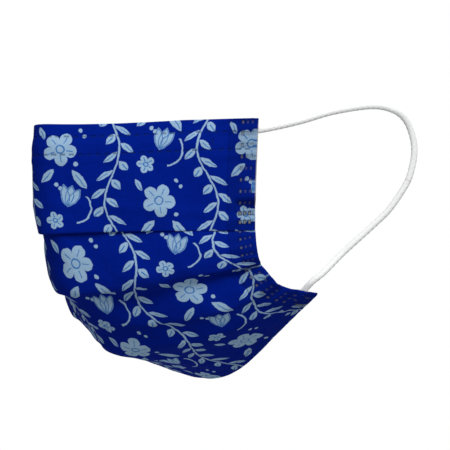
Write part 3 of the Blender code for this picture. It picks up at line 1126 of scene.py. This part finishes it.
def cloth_layers(top, lower):
    outer = sheet_mesh("outer_cloth", outer_path(top, lower), CLOTH, printed_cloth("printed_cloth"))
    place_piece(outer, "outer_layer")
    lining = sheet_mesh("lining", lining_path(top, lower), CLOTH, white_cloth("lining_cloth"))
    place_piece(lining, "inner_layer")


def nose_wire():
    """The coated wire between the two layers."""
    s = np.linspace(-1, 1, 161) * WIRE_LENGTH / 2 / half_length(TOP_ROWS[0])
    top, _ = body_surfaces(s)
    start = row_below(top, WIRE_BELOW_EDGE - WIRE_WIDTH / 2)
    end = row_below(top, WIRE_BELOW_EDGE + WIRE_WIDTH / 2)
    depth = CLOTH + 0.05 * MM + WIRE_THICKNESS / 2
    path = [at(top, row, 0.0, depth) for row in range(start, end + 1)]
    made = sheet_mesh("wire", path, WIRE_THICKNESS, wire_coat())
    place_piece(made, "nose_wire")


BAND_CLOTH = 0.3 * MM
BAND_PROFILE_STEP = 0.6 * MM
BAND_TURN_COUNT = 9

# The band's front leg lies this far outside the cloth's face, and its back leg this far behind the layers.
BAND_NEAR = BAND_CLOTH / 2 + 0.09 * MM
BAND_ROOM = CLOTH + 0.15 * MM
BAND_EASE = 2 * MM

# On the lower surface the band goes on just past the row numbered 1, the first pleat's lip.
BAND_RESTART = 1.08


def band_depths(made, is_top, column):
    """How deep the back leg of a side band lies at each row."""
    below, hem, layer = made.below[:, column], made.to_hem[:, column], LAYER * made.pinch[:, column]
    from_edge, turned_in = (below, TOP_HEM) if is_top else (hem, BOTTOM_HEM)
    depth = 2 * layer + BAND_ROOM + layer * (1 - rise(from_edge, turned_in, turned_in + BAND_EASE))
    if not is_top:
        return depth
    lip = below[-1]
    folded = rise(below, lip - PLEAT_OVERLAP - 3 * MM, lip - PLEAT_OVERLAP)
    return depth + casing_depth(below) + (3 * layer + POCKET_ROOM) * folded


Profile = namedtuple("Profile", "s picks edge beside turn out")


def band_profile(side):
    """A side band's line from the end of its front leg, round the edge, to the end of its back leg.

    s are the places along a row, and picks says which of them each point of the line belongs to. turn
    goes from 0 on the front leg to 1 on the back one, and out is how far a point stands past the edge."""
    last = round((BAND_WIDTH - BAND_TUCK) / BAND_PROFILE_STEP)
    back = round(BAND_RETURN / BAND_PROFILE_STEP)
    s = 1 + np.linspace(-BAND_WIDTH, -BAND_TUCK, last + 1) / half_length(TOP_ROWS[3])
    picks = np.array([*range(last + 1), *[last] * BAND_TURN_COUNT, *range(last, last - back - 1, -1)])
    angle = np.pi * np.arange(1, BAND_TURN_COUNT + 1) / (BAND_TURN_COUNT + 1)
    front_leg, back_leg = np.zeros(last + 1), np.zeros(back + 1)
    turn = np.concatenate([front_leg, (1 - np.cos(angle)) / 2, back_leg + 1])
    out = np.concatenate([front_leg, BAND_TUCK * np.sin(angle), back_leg])
    if side > 0:
        return Profile(s, picks, last, last - 1, turn, out)
    return Profile(-s[::-1], last - picks, 0, 1, turn, out)


def band_line(made, whole, row, profile, far):
    """One line of a side band's path, with its back leg at the depth far."""
    picks = profile.picks
    depth = profile.turn * (far + BAND_NEAR) - BAND_NEAR
    outward = unit(made.points[row][profile.edge] - made.points[row][profile.beside])
    points = made.points[row][picks] + made.inward[row][picks] * depth[:, None]
    points += outward * profile.out[:, None]
    flat = np.stack([np.interp(profile.s, columns(), whole.flat[row][:, k]) for k in (0, 1)], axis=-1)
    return Station(points, flat[picks], made.to_hem[row][picks], made.to_side[row][picks] - profile.out)


def side_band(name, side, material, cloth):
    """The strip folded round a side edge: a front leg, the turn round the edge and a back leg."""
    profile = band_profile(side)
    path = []
    for made, whole, is_top in zip(body_surfaces(profile.s), cloth, (True, False)):
        far = band_depths(made, is_top, profile.edge)
        for row, level in enumerate(made.levels):
            if is_top or level >= BAND_RESTART:
                path.append(band_line(made, whole, row, profile, far[row]))
    if side < 0:
        path = [Station(*[field[::-1] for field in line]) for line in path]
    made = sheet_mesh(name + "_strip", path, BAND_CLOTH, material)
    place_piece(made, name)
    return made


# The setting

FLOOR_HEIGHT = -1.0
FLOOR_REACH = 1.6
FLOOR_SIDES = 96


def floor():
    """A plain pale floor, below the photograph's view of the mask, that fades out all round."""
    mesh = bpy.data.meshes.new("floor")
    turns = [2 * math.pi * i / FLOOR_SIDES for i in range(FLOOR_SIDES)]
    points = [(FLOOR_REACH * math.cos(turn), FLOOR_REACH * math.sin(turn), FLOOR_HEIGHT) for turn in turns]
    mesh.from_pydata(points, [], [tuple(range(FLOOR_SIDES))])
    paint, tree, shader = new_material("floor_white", 0.9)
    shader.inputs["Base Color"].default_value = (0.75, 0.75, 0.75, 1.0)
    position = tree.nodes.new("ShaderNodeTexCoord")
    split = tree.nodes.new("ShaderNodeSeparateXYZ")
    tree.links.new(position.outputs["Object"], split.inputs[0])
    away = hypotenuse(Number(tree, split.outputs["X"]), Number(tree, split.outputs["Y"]))
    cover = filled(away - 0.6 * FLOOR_REACH, 0.7 * FLOOR_REACH)
    tree.links.new(cover.socket, shader.inputs["Alpha"])
    mesh.materials.append(paint)
    linked("floor", mesh)


Lamp = namedtuple("Lamp", "azimuth elevation distance size power")

LAMPS = {
    "key": Lamp(60, 44, 1.6, 0.9, 31),
    "rim": Lamp(205, 35, 1.8, 1.4, 13),
}
WORLD_LIGHT = 0.41
WORLD_SEEN = 1.0


def lights():
    """Soft studio lamps, and a white backdrop that gives less light than it shows."""
    for name, lamp in LAMPS.items():
        data = bpy.data.lights.new(name, "AREA")
        data.size = lamp.size
        data.energy = lamp.power
        way = direction(lamp.azimuth, lamp.elevation)
        made = linked(name, data)
        made.location = way * lamp.distance
        made.rotation_euler = way.to_track_quat("Z", "Y").to_euler()
    world = bpy.data.worlds.new("studio")
    world.use_nodes = True
    tree = world.node_tree
    background = tree.nodes["Background"]
    background.inputs["Color"].default_value = (1.0, 1.0, 1.0, 1.0)
    seen = Number(tree, tree.nodes.new("ShaderNodeLightPath").outputs["Is Camera Ray"])
    strength = maths("MULTIPLY_ADD", seen, WORLD_SEEN - WORLD_LIGHT, WORLD_LIGHT)
    tree.links.new(strength.socket, background.inputs["Strength"])
    bpy.context.scene.world = world
    bpy.context.scene.view_settings.view_transform = "Standard"


camera()
cloth = body_surfaces(columns(), unroll=True)
cloth_layers(*cloth)
nose_wire()
band_material = printed_cloth("band_cloth", on_band=True)
elastic = elastic_knit()
for side, which in ((1, "left"), (-1, "right")):
    band = side_band("side_band_" + which, side, band_material, cloth)
    ear_loop("ear_loop_" + which, side, elastic, band)
floor()
lights()
